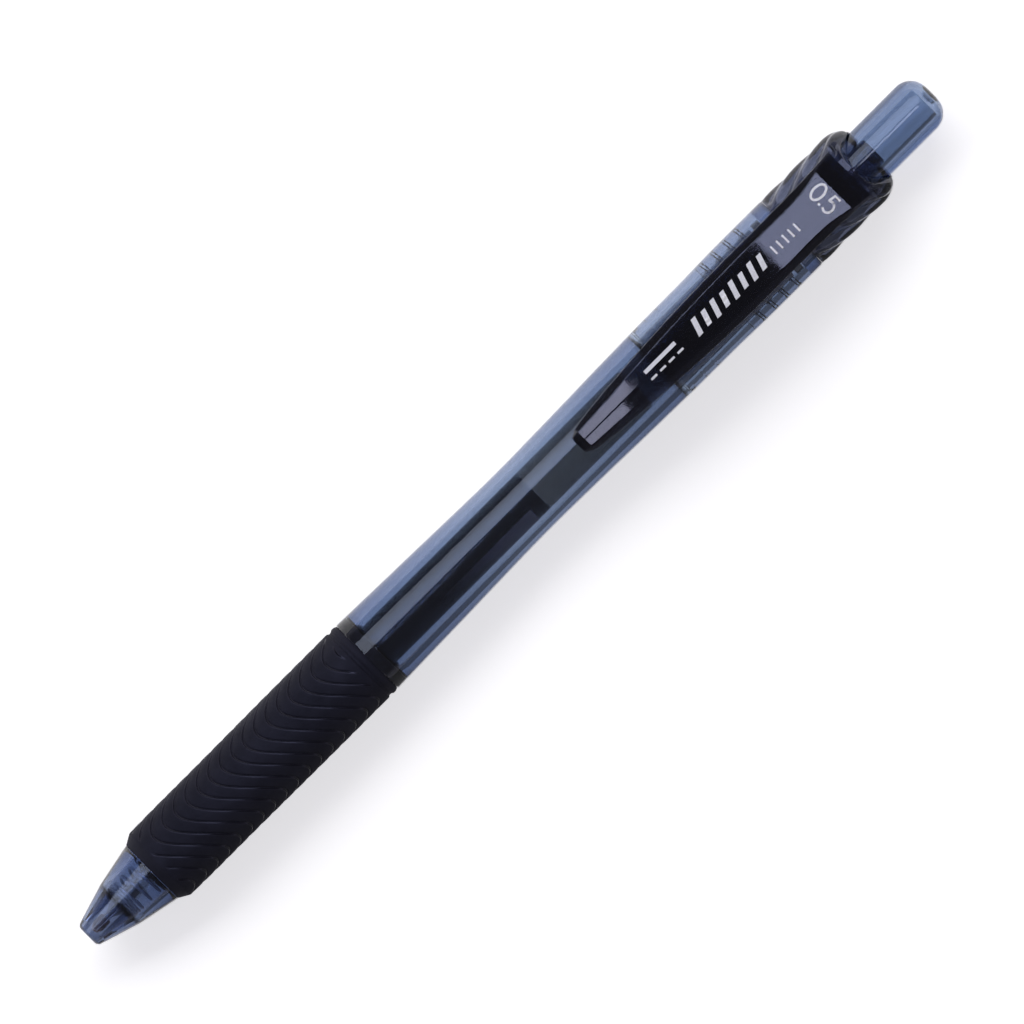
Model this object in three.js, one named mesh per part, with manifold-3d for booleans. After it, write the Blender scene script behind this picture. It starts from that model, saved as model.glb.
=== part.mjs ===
// Retractable gel pen with a push button, a sprung refill, a rubber grip and a pocket clip.
//
// Lengths are in millimetres. The pen lies along X with its clip uppermost. A "station" is a distance along
// the pen from its writing end, which points towards -X, and a radius is measured from the pen's own axis.
// The exported group moves that axis up, so that the pen lies on the plane Z = 0 with its middle at X = 0.
import * as THREE from "three";
import { mergeVertices } from "three/addons/utils/BufferGeometryUtils.js";
import Module from "manifold-3d";

const wasm = await Module();
wasm.setup();

// ---- Driving dimensions ------------------------------------------------------------------------------

const LENGTH = 145; // writing end to push button, with the refill drawn in
const SIDES = 24; // facets round a shell
const FINE_SIDES = 32; // facets round the toothed parts: four to a tooth
const SMALL_SIDES = 12; // facets round the point's small parts
const GAP = 0.1; // running and press gap between two neighbours

const NOSE_BORE = 1.25;
const SPRING_SEAT = 5.6;
const GRIP_FRONT = 11;
const GRIP_REAR = 48;
const GRIP_CORE = 4.1; // radius of the barrel under the rubber
const BEAD = 5.45; // radius of the rubber's rear bead, the pen's thickest round part
const TONGUE = 1.5; // length of the rubber's tongue under the barrel's skirt
const REFILL_BORE = 3.75; // bore of the clear part of the front barrel

const SEAM = 97.8; // where the two barrels meet
const SPIGOT = 4.15; // radius of the front barrel's spigot, which the rear barrel screws onto
const SPIGOT_BORE = 3.55;
const SPIGOT_END = 117.5;
const REAR_RADIUS = 5.4;
const CROWN_FRONT = 120.9;
const NECK = 4.35; // radius of the rear barrel inside the crown
const NECK_END = 131.2;
const CROWN_END = 134.5;

const BUTTON = 3.6;
const BUTTON_FRONT = 131;
const STEM = 1.9;
const STEM_END = 135.1;
const SLOTS = 4; // guide slots in the cam sleeve, each as wide as the rib beside it
const SLOT_RADIUS = 3;
const RIB_RADIUS = 2.12;
const FIN_RADIUS = 2.9;
const CAM_FACE = 120.4; // where the plunger's teeth meet the rotor's
const TOOTH = 0.45; // height of a cam tooth

const POINT_FRONT = 1.65;
const REFILL_SHOULDER = 27;
const TUBE = 3;
const TUBE_BORE = 2.45;
const TUBE_END = 111.5;
const INK_END = 76.6;
const FOLLOWER_END = 94;

const CLIP_FRONT = 84.2;
const CLIP_REAR = 130.9;
const TONGUE_FROM = 127.2; // the clip's root tongue, which plugs into a slot in the crown
const TONGUE_TO = 129.6;
const TONGUE_HALF_WIDTH = 1.9;
const SLOT_GAP = 0.3;

const AXIS_HEIGHT = BEAD * Math.cos(Math.PI / SIDES); // the bead's lowest facet lies on Z = 0

// ---- Materials ---------------------------------------------------------------------------------------

const plastic = (color, opacity = 1) =>
  new THREE.MeshStandardMaterial({ color, roughness: 0.2, metalness: 0, opacity, transparent: opacity < 1 });
const smoke = plastic(0x5b6f94, 0.5);
const darkSmoke = plastic(0x1c2233, 0.75);
const rubber = new THREE.MeshStandardMaterial({ color: 0x1c1c22, roughness: 0.75, metalness: 0 });
const blackPlastic = plastic(0x15161a);
const natural = plastic(0xb9bec4, 0.6);
const ink = plastic(0x050509);
const clearGrease = plastic(0x8b8f96, 0.6);
const amber = plastic(0x7a5232, 0.8);
const steel = new THREE.MeshStandardMaterial({ color: 0xc8ccd2, roughness: 0.25, metalness: 1 });
const nickelSilver = new THREE.MeshStandardMaterial({ color: 0xb9b2a4, roughness: 0.3, metalness: 1 });

// ---- Shape helpers -----------------------------------------------------------------------------------

/** Twice the area inside a closed outline of [station, radius] points, negative if it runs clockwise. */
function turningSense(outline) {
  return outline.reduce((sum, [x, y], i) => {
    const [nextX, nextY] = outline[(i + 1) % outline.length];
    return sum + x * nextY - nextX * y;
  }, 0);
}

/** A closed outline of [station, radius] points turned about the pen's axis, with a flat facet uppermost. */
function turned(outline, sides = SIDES) {
  const points = turningSense(outline) > 0 ? [...outline].reverse() : [...outline];
  points.push(points[0]);
  const profile = points.map(([station, radius]) => new THREE.Vector2(radius, station));
  const geometry = new THREE.LatheGeometry(profile, sides, Math.PI / sides);
  return geometry.rotateZ(-Math.PI / 2);
}

/** Moves each vertex as place(station, angle, radius) says; angle is 0 at the clip's side of the pen. */
function reshaped(geometry, place) {
  const at = geometry.attributes.position;
  for (let i = 0; i < at.count; i++) {
    const angle = Math.atan2(at.getY(i), at.getZ(i));
    const radius = Math.hypot(at.getY(i), at.getZ(i));
    const moved = place(at.getX(i), angle, radius);
    at.setXYZ(i, moved.station, moved.radius * Math.sin(angle), moved.radius * Math.cos(angle));
  }
  return geometry;
}

/** A flat outline in the pen's cross-section, run along the pen from one station to another. */
function alongPen(shape, from, to) {
  const geometry = new THREE.ExtrudeGeometry(shape, { depth: to - from, bevelEnabled: false });
  return geometry.rotateY(Math.PI / 2).translate(from, 0, 0);
}

function toSolid(geometry) {
  const bare = new THREE.BufferGeometry();
  const source = geometry.index ? geometry.toNonIndexed() : geometry;
  bare.setAttribute("position", source.getAttribute("position"));
  const merged = mergeVertices(bare, 1e-3);
  return new wasm.Manifold(
    new wasm.Mesh({
      numProp: 3,
      vertProperties: new Float32Array(merged.attributes.position.array),
      triVerts: new Uint32Array(merged.index.array),
    }),
  );
}

function toGeometry(solid) {
  const mesh = solid.getMesh();
  const geometry = new THREE.BufferGeometry();
  geometry.setAttribute("position", new THREE.BufferAttribute(mesh.vertProperties, 3));
  geometry.setIndex(new THREE.BufferAttribute(mesh.triVerts, 1));
  return geometry;
}

const joined = (...geometries) => toGeometry(geometries.map(toSolid).reduce((sum, next) => sum.add(next)));

const cut = (geometry, tool) => toGeometry(toSolid(geometry).subtract(toSolid(tool)));

/** A box given by its lowest and highest corners. */
function block(low, high) {
  const size = high.map((value, i) => value - low[i]);
  return new THREE.BoxGeometry(...size).translate(...low.map((value, i) => value + size[i] / 2));
}

/** The value at a station on a line through [station, value] points, straight between them. */
function onLine(points, station) {
  const next = points.findIndex(([at]) => at >= station);
  if (next <= 0) return points[next === 0 ? 0 : points.length - 1][1];
  const [[fromAt, fromValue], [toAt, toValue]] = [points[next - 1], points[next]];
  return fromValue + ((toValue - fromValue) * (station - fromAt)) / (toAt - fromAt);
}

/** A smooth line through [station, radius] points. */
function smoothLine(points, steps) {
  const curve = new THREE.SplineCurve(points.map((point) => new THREE.Vector2(...point)));
  return curve.getPoints(steps).map(({ x, y }) => [x, y]);
}

/** A quarter-like arc from one angle to another, in degrees, as [station, radius] points. */
function arc(station, radius, size, fromDegrees, toDegrees, steps) {
  return Array.from({ length: steps + 1 }, (_, i) => {
    const angle = THREE.MathUtils.degToRad(fromDegrees + ((toDegrees - fromDegrees) * i) / steps);
    return [station + size * Math.cos(angle), radius + size * Math.sin(angle)];
  });
}

/** 0 in the middle of a cam tooth's flank foot and 1 at its crest, going round the pen. */
function toothHeight(angle) {
  const turn = (angle / (2 * Math.PI)) * 2 * SLOTS;
  return 1 - 2 * Math.abs(turn - Math.round(turn));
}

/** A ring outline with inward ribs or outward fins: `even` and `odd` are the radii of alternate sectors. */
function sectorOutline(sectorRadius, sectors, stepsPerSector) {
  const points = [];
  for (let sector = 0; sector < sectors; sector++)
    for (let step = 0; step <= stepsPerSector; step++) {
      const { radius, from, to } = sectorRadius(sector);
      const angle = from + ((to - from) * step) / stepsPerSector;
      points.push(new THREE.Vector2(radius * Math.cos(angle), radius * Math.sin(angle)));
    }
  return points;
}

/** Outline of a hub with `SLOTS` fins, each `width` radians wide, centred on the slots. */
function finnedOutline(hubRadius, width) {
  const pitch = (2 * Math.PI) / SLOTS;
  const half = width / 2;
  const sectorRadius = (sector) => {
    const centre = Math.floor(sector / 2) * pitch;
    return sector % 2
      ? { radius: hubRadius, from: centre + half, to: centre + pitch - half }
      : { radius: FIN_RADIUS, from: centre - half, to: centre + half };
  };
  return new THREE.Shape(sectorOutline(sectorRadius, 2 * SLOTS, 4));
}

// ---- Barrel shells -----------------------------------------------------------------------------------

/** Outer line of the clear barrel: thick at the grip and at the seam, with a long shallow waist between. */
const WAIST = smoothLine(
  [
    [GRIP_REAR, 5.34],
    [60, 5.06],
    [73, 4.72],
    [83, 4.8],
    [SEAM, 5.2],
  ],
  14,
);

/** Front barrel: nose, grip core, clear reservoir window and the threaded spigot, in one moulding. */
function frontBarrel() {
  const shell = turned([
    [0, NOSE_BORE],
    [0, 1.5],
    [0.35, 1.8],
    [1.3, 2.05],
    [SPRING_SEAT, 3.4],
    [GRIP_FRONT, 4.45],
    [GRIP_FRONT, GRIP_CORE],
    [GRIP_REAR, GRIP_CORE],
    [GRIP_REAR, 4.45],
    [GRIP_REAR + TONGUE + GAP / 2, 4.45],
    [GRIP_REAR + TONGUE + GAP / 2, 5.1],
    [GRIP_REAR, 5.1],
    ...WAIST,
    [SEAM, SPIGOT],
    [SPIGOT_END, SPIGOT],
    [SPIGOT_END, SPIGOT_BORE],
    [SEAM, SPIGOT_BORE],
    [SEAM - 1.8, REFILL_BORE],
    [50.5, REFILL_BORE],
    [47, 3.3],
    [19, 3.3],
    [12.5, 2.8],
    [SPRING_SEAT + 1.2, 2.8],
    [SPRING_SEAT + 1.2, 2.95],
    [SPRING_SEAT, 2.95],
    [SPRING_SEAT, 2.3],
    [1.4, 1.5],
    [1, NOSE_BORE],
  ]);
  return joined(shell, ...noseRibs());
}

/** Six thin ribs inside the nose that keep the point central. */
function noseRibs() {
  const count = 6;
  const thickness = 0.4;
  const outline = new THREE.Shape(
    [
      [1.5, 1.38],
      [5.4, 1.38],
      [5.4, 2.6],
      [1.5, 1.75],
    ].map((point) => new THREE.Vector2(...point)),
  );
  return Array.from({ length: count }, (_, i) =>
    new THREE.ExtrudeGeometry(outline, { depth: thickness, bevelEnabled: false })
      .translate(0, 0, -thickness / 2)
      .rotateX(((i + 0.5) * 2 * Math.PI) / count),
  );
}

/** Rubber grip with a bevelled front, a rear bead and a thin tongue tucked under the barrel's skirt. */
function gripSleeve() {
  const inside = GRIP_CORE + GAP / 2;
  return turned([
    [GRIP_FRONT + GAP, inside],
    [GRIP_FRONT + GAP, 4.6],
    [12.5, 5.3],
    [24, 5.3],
    [36, 5.4],
    [46.5, 5.4],
    [46.8, 5.3],
    [47.1, BEAD],
    [47.8, BEAD],
    [GRIP_REAR - GAP, 5.3],
    [GRIP_REAR - GAP, 5.02],
    [GRIP_REAR + TONGUE, 5.02],
    [GRIP_REAR + TONGUE, 4.52],
    [GRIP_REAR - GAP, 4.52],
    [GRIP_REAR - GAP, inside],
  ]);
}

/** Rear barrel: the clear sleeve behind the seam, with a neck that the crown covers. */
function rearBarrel() {
  const front = SEAM + GAP;
  const shoulder = 119.1; // the cam sleeve's flange seats here
  return turned([
    [front, SPIGOT + GAP],
    [front, 5.2],
    [107, 5.26],
    [112, REAR_RADIUS],
    [CROWN_FRONT, REAR_RADIUS],
    [CROWN_FRONT, NECK],
    [NECK_END, NECK],
    [NECK_END, 3.7],
    [124.8, 3.7],
    [124.8, 3.58],
    [shoulder, 3.58],
    [shoulder, SPIGOT + GAP],
  ]);
}

/** Crown: a twisted collar over the neck, whose rear rim is scooped out on the clip's side. */
function crown() {
  const front = CROWN_FRONT + GAP;
  const rimStart = NECK_END + 0.15;
  const bore = BUTTON + 0.15;
  const outside = Array.from({ length: 10 }, (_, i) => [front + (i * (132 - front)) / 9, 5.14]);
  const sleeve = turned([
    [front, NECK + GAP],
    ...outside,
    ...arc(132.4, 3.4, 1.74, 80, 15, 4),
    [CROWN_END, 3.8],
    [CROWN_END, bore],
    [rimStart, bore],
    [rimStart, NECK + GAP],
  ]);
  const twisted = reshaped(sleeve, (station, angle, radius) => {
    const outer = radius > NECK + 0.4 && station > front + 0.2 && station < 132.2;
    const scoop = 0.87 * Math.max(0, Math.cos(angle)) ** 2;
    return {
      station: station > rimStart ? rimStart + (station - rimStart) * (1 - scoop) : station,
      radius: outer ? radius + 0.24 * crownLobe(station, angle) : radius,
    };
  });
  const slotHalfWidth = TONGUE_HALF_WIDTH + SLOT_GAP;
  const slot = block(
    [TONGUE_FROM - SLOT_GAP, -slotHalfWidth, 3.6],
    [TONGUE_TO + SLOT_GAP, slotHalfWidth, 6],
  );
  return cut(twisted, slot);
}

/** Height, 0 to 1, of the crown's twisted lobes, which run back and round from both sides of the clip. */
function crownLobe(station, angle) {
  const pitch = 4.3;
  const lean = 5.4; // how far back a lobe has moved for each radian round the pen
  const phase = (station - CROWN_FRONT - lean * Math.abs(angle)) / pitch;
  return Math.abs(Math.sin(Math.PI * phase));
}

// ---- Clip --------------------------------------------------------------------------------------------

const CLIP_TOP = [
  [CLIP_FRONT, 6.5],
  [85.4, 7.15],
  [95, 7.75],
  [107, 8],
  [118, 7.9],
  [128.1, 7.5],
  [CLIP_REAR, 6],
];
const CLIP_UNDER = [
  [CLIP_FRONT, 6],
  [85.6, 5.3],
  [87.4, 5.3],
  [89.5, 6.1],
  [120, 6.3],
  [124, 5.65],
  [CLIP_REAR, 5.65],
];
const CLIP_TOP_HALF_WIDTH = [
  [CLIP_FRONT, 0.9],
  [86, 1.25],
  [100, 2.1],
  [110, 2.45],
  [123, 2.45],
  [128.1, 3.15],
  [CLIP_REAR, 3.4],
];
const CLIP_BASE_HALF_WIDTH = [
  [CLIP_FRONT, 1],
  [85.4, 1.7],
  [98, 3],
  [110, 3.42],
  [123, 3.42],
  [CLIP_REAR, 3.85],
];

/** Clip: an arched bar with bevelled sides and a ridge along its top, and a root tongue. */
function clip() {
  const stations = [84.2, 84.8, 85.4, 86, 87.4, 89.5, 95, 100, 107, 114, 120, 123, 125.5, 128.1, 130.9];
  const ridge = 0.08;
  const bar = new THREE.BoxGeometry(2, 2, 2, stations.length - 1, 2, 1);
  const at = bar.attributes.position;
  for (let i = 0; i < at.count; i++) {
    const station = stations[Math.round(((at.getX(i) + 1) / 2) * (stations.length - 1))];
    const isTop = at.getZ(i) > 0;
    const side = at.getY(i);
    const halfWidth = onLine(isTop ? CLIP_TOP_HALF_WIDTH : CLIP_BASE_HALF_WIDTH, station);
    const height = onLine(isTop ? CLIP_TOP : CLIP_UNDER, station);
    at.setXYZ(i, station, side * halfWidth, height + (isTop && side === 0 ? ridge : 0));
  }
  const tongue = block([TONGUE_FROM, -TONGUE_HALF_WIDTH, 4.7], [TONGUE_TO, TONGUE_HALF_WIDTH, 6]);
  return joined(bar, tongue);
}

// ---- Knock mechanism ---------------------------------------------------------------------------------

/** Push button: a hollow cap with a round shoulder and a small recess in its end. */
function pushButton() {
  const bore = STEM + GAP;
  return turned([
    [BUTTON_FRONT, bore],
    [BUTTON_FRONT, BUTTON],
    ...arc(143.3, BUTTON - 1.7, 1.7, 90, 10, 5),
    [LENGTH, BUTTON - 1.8],
    [LENGTH, 0.7],
    [LENGTH - 0.5, 0.6],
    [LENGTH - 0.5, 0],
    [144.1, 0],
    [144.1, 1.5],
    [143.5, bore],
  ]);
}

/** Plunger: the toothed thrust cam, with guide fins and a stem pressed into the push button. */
function plunger() {
  const face = CAM_FACE + GAP + 0.05;
  const tube = turned(
    [
      [face, 1.3],
      [face, STEM],
      [STEM_END - 0.6, STEM],
      [STEM_END, STEM - 0.6],
      [STEM_END, 0],
      [124, 0],
      [124, 1.3],
    ],
    FINE_SIDES,
  );
  const toothed = reshaped(tube, (station, angle, radius) => ({
    station: station < face + 0.01 ? station + TOOTH * toothHeight(angle) : station,
    radius,
  }));
  const finned = finnedOutline(1.7, 0.58);
  finned.holes.push(new THREE.Path().absarc(0, 0, 1.5, 0, 2 * Math.PI, true));
  return joined(toothed, alongPen(finned, CAM_FACE + 0.9, 123.45));
}

/** Rotor: the cam that turns the refill's stop from one set of slots to the next. */
function rotor() {
  const front = TUBE_END + 1;
  const hub = turned(
    [
      [front, 0],
      [front, 2.1],
      [116.5, 1.95],
      [CAM_FACE - 0.05, 1.95],
      [CAM_FACE - 0.05, 1.15],
      [123, 1.15],
      [123, 0],
    ],
    FINE_SIDES,
  );
  const toothed = reshaped(hub, (station, angle, radius) => ({
    station: Math.abs(station - CAM_FACE) < 0.1 ? station + TOOTH * toothHeight(angle) : station,
    radius,
  }));
  return joined(toothed, alongPen(finnedOutline(1.6, 0.56), 117.4, CAM_FACE - 0.3));
}

/** Cam sleeve: fixed guide with four slots and sloped rib ends, closed behind except for the stem's hole. */
function camSleeve() {
  const pitch = (2 * Math.PI) / SLOTS;
  const wall = 3.45;
  const ring = new THREE.Shape(
    sectorOutline((i) => ({ radius: wall, from: (i * pitch) / 2, to: ((i + 1) * pitch) / 2 }), 2 * SLOTS, 4),
  );
  const ribbed = sectorOutline(
    (sector) => ({
      radius: sector % 2 ? RIB_RADIUS : SLOT_RADIUS,
      from: (sector - 0.5) * (pitch / 2),
      to: (sector + 0.5) * (pitch / 2),
    }),
    2 * SLOTS,
    4,
  );
  ring.holes.push(new THREE.Path(ribbed.reverse()));
  const front = 114.9;
  const back = 123.55;
  const guide = reshaped(alongPen(ring, front, back), (station, angle, radius) => {
    const toothed = station < front + 0.01 && radius < SLOT_RADIUS - 0.1;
    return { station: toothed ? station + TOOTH * toothHeight(angle) : station, radius };
  });
  const flange = turned([
    [117.9, 3.3],
    [117.9, SPIGOT],
    [119, SPIGOT],
    [119, 3.3],
  ]);
  const backWall = turned([
    [back - 0.05, STEM + 0.08],
    [back - 0.05, wall],
    [124.6, wall],
    [124.6, STEM + 0.08],
  ]);
  return joined(guide, flange, backWall);
}

// ---- Refill ------------------------------------------------------------------------------------------

/** Plastic holder that joins the metal point to the reservoir; its shoulder takes the spring. */
function pointHolder() {
  return turned([
    [6.3, 0.85],
    [6.3, 1.12],
    [9, 1.2],
    [11.9, 1.25],
    [13, 1.85],
    [REFILL_SHOULDER, 1.85],
    [REFILL_SHOULDER, 2.9],
    [REFILL_SHOULDER + 1, 2.9],
    [REFILL_SHOULDER + 1, 2.38],
    [31.5, 2.38],
    [31.5, 1.5],
    [18.4, 1.5],
    [18.4, 0.7],
    [17.8, 0.7],
    [17.3, 1.35],
    [13.4, 1.35],
    [12.8, 0.6],
    [9.3, 0.6],
    [9.3, 0.85],
  ]);
}

/** Metal point: a fine needle on a cone, with a shank pressed into the holder. */
function writingPoint() {
  return turned(
    [
      [POINT_FRONT, 0.2],
      [POINT_FRONT, 0.3],
      [2, 0.42],
      [3.9, 0.45],
      [4.9, 1],
      [6.2, 1.05],
      [6.2, 0.78],
      [9.1, 0.78],
      [9.1, 0.5],
      [4.4, 0.5],
      [3.9, 0.22],
      [2.25, 0.22],
      [2.15, 0.3],
      [1.78, 0.3],
    ],
    SMALL_SIDES,
  );
}

function ball(station, radius) {
  return new THREE.SphereGeometry(radius, SMALL_SIDES, SMALL_SIDES / 2).translate(station, 0, 0);
}

/** Soft pellet moulded over the needle, which seals a new point until it is pulled off. */
function tipSeal() {
  const inside = 0.5;
  const nose = arc(1.95, 0.12, 0.7, 180, 90, 4);
  return turned([[1.25, 0], ...nose, [3, 0.82], [3.4, inside], [1.55, inside], [1.45, 0]], SMALL_SIDES);
}

/** Centre line of a coil spring whose first and last turns lie close together. */
class SpringLine extends THREE.Curve {
  constructor({ from, to, radius, turns, closedTurns, closedPitch }) {
    super();
    Object.assign(this, { from, to, radius, turns, closedTurns, closedPitch });
  }

  getPoint(t, target = new THREE.Vector3()) {
    const { from, to, radius, turns, closedTurns, closedPitch } = this;
    const turn = t * turns;
    const closed = closedTurns * closedPitch;
    const openPitch = (to - from - 2 * closed) / (turns - 2 * closedTurns);
    const opened = THREE.MathUtils.clamp(turn - closedTurns, 0, turns - 2 * closedTurns);
    const station = from + (turn - opened) * closedPitch + opened * openPitch;
    const angle = turn * 2 * Math.PI;
    return target.set(station, radius * Math.sin(angle), radius * Math.cos(angle));
  }
}

function wireAlong(line, wireRadius, stepsPerTurn) {
  const circle = new THREE.EllipseCurve(0, 0, wireRadius, wireRadius).getPoints(5);
  const section = new THREE.Shape(circle.slice(0, -1));
  const settings = { steps: Math.round(line.turns * stepsPerTurn), extrudePath: line };
  return new THREE.ExtrudeGeometry(section, settings);
}

function returnSpring() {
  const wire = 0.17;
  const line = new SpringLine({
    from: SPRING_SEAT + wire + GAP,
    to: REFILL_SHOULDER - wire - GAP,
    radius: 2.3,
    turns: 18.5,
    closedTurns: 3,
    closedPitch: 0.4,
  });
  return wireAlong(line, wire, 11);
}

/** Fine spring in the point that holds the ball against its seat. */
function ballSpring() {
  const line = new SpringLine({
    from: 4.7,
    to: 8.9,
    radius: 0.3,
    turns: 7,
    closedTurns: 1,
    closedPitch: 0.2,
  });
  return wireAlong(line, 0.07, 8);
}

function rod(from, to, radius, sides = SIDES) {
  return turned(
    [
      [from, 0],
      [from, radius],
      [to, radius],
      [to, 0],
    ],
    sides,
  );
}

function reservoirTube() {
  const front = REFILL_SHOULDER + 1 + GAP;
  return turned([
    [front, TUBE_BORE],
    [front, TUBE],
    [TUBE_END, TUBE],
    [TUBE_END, TUBE_BORE],
  ]);
}

/** Vented plug in the tail of the reservoir. */
function tailPlug() {
  return turned([
    [107, 0.5],
    [107, 2.36],
    [TUBE_END + GAP, 2.36],
    [TUBE_END + GAP, 2.95],
    [TUBE_END + 0.9, 2.95],
    [TUBE_END + 0.9, 0.5],
  ]);
}

// ---- Assembly ----------------------------------------------------------------------------------------

const pen = new THREE.Group();
pen.position.set(-LENGTH / 2, 0, AXIS_HEIGHT);

function add(name, geometry, material, parent = pen) {
  const mesh = new THREE.Mesh(geometry, material);
  mesh.name = name;
  parent.add(mesh);
}

const barrel = new THREE.Group();
const knock = new THREE.Group();
const refill = new THREE.Group();
pen.add(barrel, knock, refill);

add("front_barrel", frontBarrel(), smoke, barrel);
add("grip_sleeve", gripSleeve(), rubber, barrel);
add("rear_barrel", rearBarrel(), smoke, barrel);
add("crown", crown(), darkSmoke, barrel);
add("clip", clip(), darkSmoke, barrel);

add("push_button", pushButton(), smoke, knock);
add("plunger", plunger(), smoke, knock);
add("rotor", rotor(), blackPlastic, knock);
add("cam_sleeve", camSleeve(), blackPlastic, knock);
add("return_spring", returnSpring(), steel, knock);

add("reservoir_tube", reservoirTube(), natural, refill);
add("point_holder", pointHolder(), natural, refill);
add("writing_point", writingPoint(), nickelSilver, refill);
add("writing_ball", ball(1.87, 0.25), steel, refill);
add("ball_spring", ballSpring(), steel, refill);
add("valve_ball", ball(15.2, 1), steel, refill);
add("tip_seal", tipSeal(), amber, refill);
add("ink_column", rod(31.6, INK_END, TUBE_BORE - 0.05), ink, refill);
add("ink_follower", rod(INK_END + 0.05, FOLLOWER_END, TUBE_BORE - 0.05), clearGrease, refill);
add("tail_plug", tailPlug(), blackPlastic, refill);

const root = new THREE.Group();
root.add(pen);

export default root;
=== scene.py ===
"""A retractable gel pen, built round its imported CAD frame.

Shapes are given in millimetres on the pen itself: a station is the distance from the writing end, a radius
is measured from the pen's axis, and an angle is 0 at the clip and grows towards -Y. place() turns them into
the frame's metres. The pen lies along X with its writing end at -X and its clip uppermost.
"""

import math

import bmesh
import bpy
from mathutils import Matrix, Vector


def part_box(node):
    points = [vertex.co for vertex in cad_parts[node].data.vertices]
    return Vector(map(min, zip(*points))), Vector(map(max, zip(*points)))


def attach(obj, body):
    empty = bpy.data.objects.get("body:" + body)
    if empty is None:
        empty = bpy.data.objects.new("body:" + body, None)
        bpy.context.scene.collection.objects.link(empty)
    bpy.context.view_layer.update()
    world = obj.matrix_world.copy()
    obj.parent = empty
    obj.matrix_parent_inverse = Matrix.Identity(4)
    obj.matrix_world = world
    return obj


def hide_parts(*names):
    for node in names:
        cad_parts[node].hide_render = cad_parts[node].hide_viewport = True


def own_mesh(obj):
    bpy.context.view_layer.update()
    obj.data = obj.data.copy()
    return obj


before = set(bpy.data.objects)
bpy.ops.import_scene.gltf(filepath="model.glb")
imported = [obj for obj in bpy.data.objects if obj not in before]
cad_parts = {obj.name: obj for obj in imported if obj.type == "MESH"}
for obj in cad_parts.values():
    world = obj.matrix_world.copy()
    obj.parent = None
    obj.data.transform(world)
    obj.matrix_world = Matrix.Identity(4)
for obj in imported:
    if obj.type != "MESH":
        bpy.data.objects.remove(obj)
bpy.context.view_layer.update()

MM = 0.001
START_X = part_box("front_barrel")[0].x
AXIS_Z = sum(corner.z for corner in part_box("reservoir_tube")) / 2


def stations(node):
    """First and last station of a CAD node."""
    return [(corner.x - START_X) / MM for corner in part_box(node)]


def place(station, angle, radius):
    """The point in the frame at a station, an angle and a radius."""
    across, up = radius * math.sin(angle), radius * math.cos(angle)
    return Vector((START_X + station * MM, -across * MM, AXIS_Z + up * MM))


def at(station, across, height):
    """The point in the frame at a station, a distance towards -Y and a height above the pen's axis."""
    return Vector((START_X + station * MM, -across * MM, AXIS_Z + height * MM))


def placed(name, data):
    """A new object that holds the data, in the scene."""
    made = bpy.data.objects.new(name, data)
    bpy.context.scene.collection.objects.link(made)
    return made


# ---- Sizes ----

GRIP_FRONT, TONGUE_END = stations("grip_sleeve")
SPIGOT_END = stations("front_barrel")[1]
SEAM, NECK_END = stations("rear_barrel")
CROWN_FRONT = stations("crown")[0]
CLIP_REAR = stations("clip")[1]
BUTTON_FRONT, LENGTH = stations("push_button")
PLUNGER_FRONT, STEM_END = stations("plunger")
ROTOR_FRONT, ROTOR_END = stations("rotor")
SLEEVE_FRONT, SLEEVE_END = stations("cam_sleeve")
SPRING_FRONT, SPRING_END = stations("return_spring")
HOLDER_FRONT, HOLDER_END = stations("point_holder")
POINT_FRONT, POINT_END = stations("writing_point")
SEAL_FRONT, SEAL_END = stations("tip_seal")
TUBE_FRONT, TUBE_END = stations("reservoir_tube")
INK_FRONT, INK_END = stations("ink_column")
FOLLOWER_FRONT, FOLLOWER_END = stations("ink_follower")
PLUG_FRONT, PLUG_END = stations("tail_plug")

GRIP_END = 48.0  # where the rubber ends and the barrel's skirt begins
COLLAR_END = SEAM - 0.06  # rear face of the front barrel's collar, against the rear barrel
BEAD_RADIUS = 5.39
SPRING_SEAT = 5.6
REFILL_BORE = 3.75
SPIGOT_RADIUS = 3.95  # root of the spigot's screw thread
THREAD_HEIGHT = 0.22
THREAD_PITCH = 1.96
SLEEVE_BORE = 4.2  # bore of the rear barrel
BUTTON_RADIUS = 3.58
STEM_RADIUS = 1.9
TUBE_RADIUS = 3.0
TUBE_BORE = 2.45
SLOTS = 4  # guide slots in the cam sleeve
TOOTH = 0.45  # height of a cam tooth
SMOOTHED = "smoothed"  # name of the grip's point values: 1 in its grooves and 0 between them

# ---- Materials ----


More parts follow.
